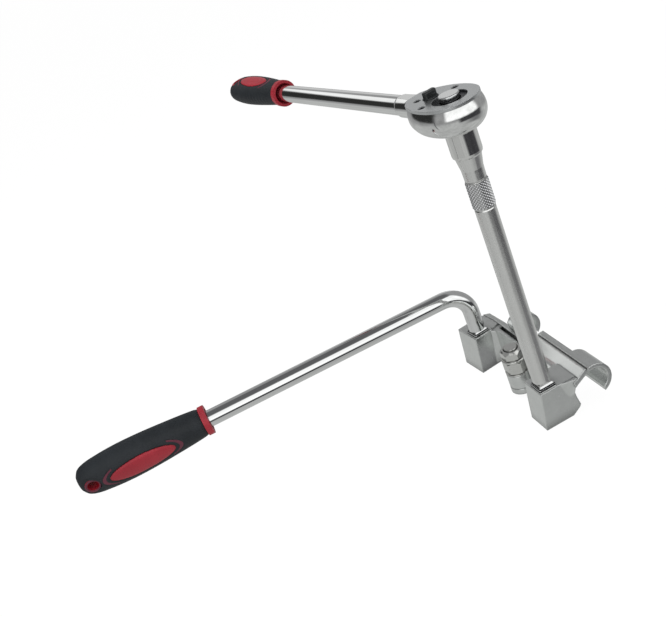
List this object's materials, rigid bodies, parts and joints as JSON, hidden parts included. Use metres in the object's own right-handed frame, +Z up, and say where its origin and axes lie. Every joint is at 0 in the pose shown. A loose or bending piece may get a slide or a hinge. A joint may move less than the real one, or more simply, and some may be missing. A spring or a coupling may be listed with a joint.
{
  "type": "lug wrench",
  "caption": "Two-lever wheel-strut wrench: pivoting hooked jaw blocks turned by an L-bar and by a ratchet handle on a long extension bar",
  "frame": {"origin": "centre of the extension bar's axis on the underside of the near jaw block", "axes": "+Z up along the extension bar, +X along the jaw from the far block to the near block, +Y towards the hooks"},
  "size_m": [0.4081, 0.4514, 0.3118],
  "materials": {
    "forged_steel": "satin plated forging",
    "satin_chrome": "satin chrome",
    "chrome_steel": "mirror chrome",
    "zinc_steel": "zinc plated",
    "black_steel": "black oxide",
    "bearing_steel": "polished",
    "spring_steel": "drawn wire",
    "red_plastic": "semi-gloss",
    "black_rubber": "matte moulded",
    "black_plastic": "matte"
  },
  "bodies": {
    "near_jaw": {"near_jaw_arm": "forged_steel", "pivot_bolt": "zinc_steel", "lower_washer": "zinc_steel", "clamp_nut": "zinc_steel", "upper_washer": "zinc_steel", "lock_nut": "zinc_steel"},
    "far_jaw": {"far_jaw_arm": "forged_steel"},
    "l_lever": {"l_bar": "chrome_steel", "l_bar_detent_spring": "spring_steel", "l_grip_core": "red_plastic", "l_grip_sleeve": "black_rubber", "l_grip_inlays": "red_plastic"},
    "l_lever_ball": {"l_bar_detent_ball": "bearing_steel"},
    "extension": {"extension_bar": "satin_chrome", "extension_detent_spring": "spring_steel"},
    "extension_ball": {"extension_detent_ball": "bearing_steel"},
    "drive": {"drive_gear": "black_steel", "button_spring": "spring_steel"},
    "drive_ball": {"drive_detent_ball": "bearing_steel"},
    "push_button": {"release_button": "zinc_steel", "release_pin": "zinc_steel"},
    "ratchet": {"ratchet_head": "chrome_steel", "cover_plate": "satin_chrome", "cover_screws": "black_steel", "ratchet_handle_rod": "chrome_steel", "ratchet_grip_core": "red_plastic", "ratchet_grip_sleeve": "black_rubber", "ratchet_grip_inlays": "red_plastic"},
    "selector": {"direction_lever": "black_plastic", "selector_plunger": "zinc_steel", "selector_spring": "spring_steel"},
    "pawl_body": {"pawl": "black_steel"}
  },
  "joints": [
    {"name": "jaw_pivot", "type": "hinge", "parent": "near_jaw", "child": "far_jaw", "pos_m": [-0.0575, 0.004, 0.02], "axis": [0, 0, 1], "range_deg": [-8, 12]},
    {"name": "l_bar_lift", "type": "slide", "parent": "far_jaw", "child": "l_lever", "axis": [0, 0, 1], "range_m": [0, 0.03]},
    {"name": "l_bar_ball_press", "type": "slide", "parent": "l_lever", "child": "l_lever_ball", "axis": [0.0993, -0.9951, 0], "range_m": [0, 0.0005]},
    {"name": "extension_lift", "type": "slide", "parent": "near_jaw", "child": "extension", "axis": [0, 0, 1], "range_m": [0, 0.03]},
    {"name": "extension_ball_press", "type": "slide", "parent": "extension", "child": "extension_ball", "axis": [0, -1, 0], "range_m": [0, 0.0005]},
    {"name": "ratchet_lift", "type": "slide", "parent": "extension", "child": "drive", "axis": [0, 0, 1], "range_m": [0, 0.03]},
    {"name": "drive_ball_press", "type": "slide", "parent": "drive", "child": "drive_ball", "axis": [0, -1, 0], "range_m": [0, 0.0009]},
    {"name": "button_press", "type": "slide", "parent": "drive", "child": "push_button", "axis": [0, 0, -1], "range_m": [0, 0.003], "deforming": ["button_spring"]},
    {"name": "ratchet_swing", "type": "hinge", "parent": "drive", "child": "ratchet", "pos_m": [0, 0, 0.282], "axis": [0, 0, 1], "continuous": true},
    {"name": "selector_turn", "type": "hinge", "parent": "ratchet", "child": "selector", "pos_m": [-0.02043, -0.00566, 0.2955], "axis": [0, 0, 1], "range_deg": [-30, 30]},
    {"name": "pawl_shift", "type": "slide", "parent": "ratchet", "child": "pawl_body", "axis": [0.2672, -0.9636, 0], "range_m": [-0.0015, 0.0015]}
  ],
  "couplings": [
    {"joint": "drive_ball_press", "follows": "button_press", "ratio": 0.3},
    {"joint": "pawl_shift", "follows": "selector_turn", "m_per_rad": -0.00286}
  ]
}
